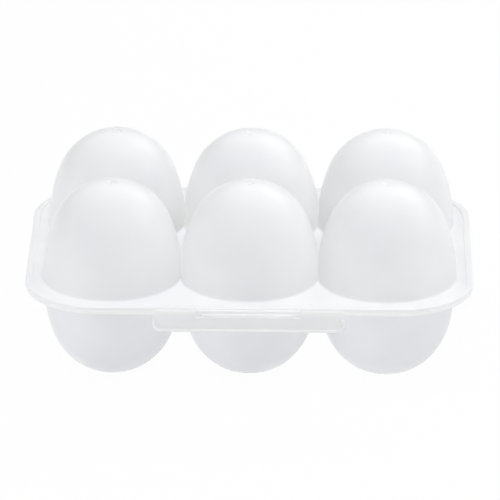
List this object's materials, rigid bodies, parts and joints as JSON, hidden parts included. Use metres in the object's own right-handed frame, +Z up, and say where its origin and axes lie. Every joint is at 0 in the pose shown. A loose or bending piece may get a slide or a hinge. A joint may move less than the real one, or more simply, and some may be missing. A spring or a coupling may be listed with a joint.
{
  "type": "egg keeper",
  "caption": "Translucent moulded egg case: egg-shaped cups in a flanged tray, a domed flip lid on clip hinges and a hanging latch flap.",
  "frame": {"origin": "centre of the keeper's plan, on the plane that the feet of the cups stand on", "axes": "+X to the right along the three columns, +Y from the latch in front to the hinges behind, +Z up"},
  "size_m": [0.1564, 0.1145, 0.0694],
  "materials": {
    "tray_plastic": "satin translucent polypropylene, milky white",
    "lid_plastic": "satin translucent polypropylene, milky white",
    "flap_plastic": "satin translucent polypropylene, milky white"
  },
  "bodies": {
    "tray": {"tray": "tray_plastic"},
    "lid": {"lid": "lid_plastic"},
    "latch": {"latch_flap": "flap_plastic"}
  },
  "joints": [
    {"name": "lid_hinge", "type": "hinge", "parent": "tray", "child": "lid", "pos_m": [0, 0.0551, 0.0339], "axis": [-1, 0, 0], "range_deg": [0, 175]},
    {"name": "latch_hinge", "type": "hinge", "parent": "lid", "child": "latch", "pos_m": [0, -0.0557, 0.0343], "axis": [-1, 0, 0], "range_deg": [0, 100]}
  ]
}
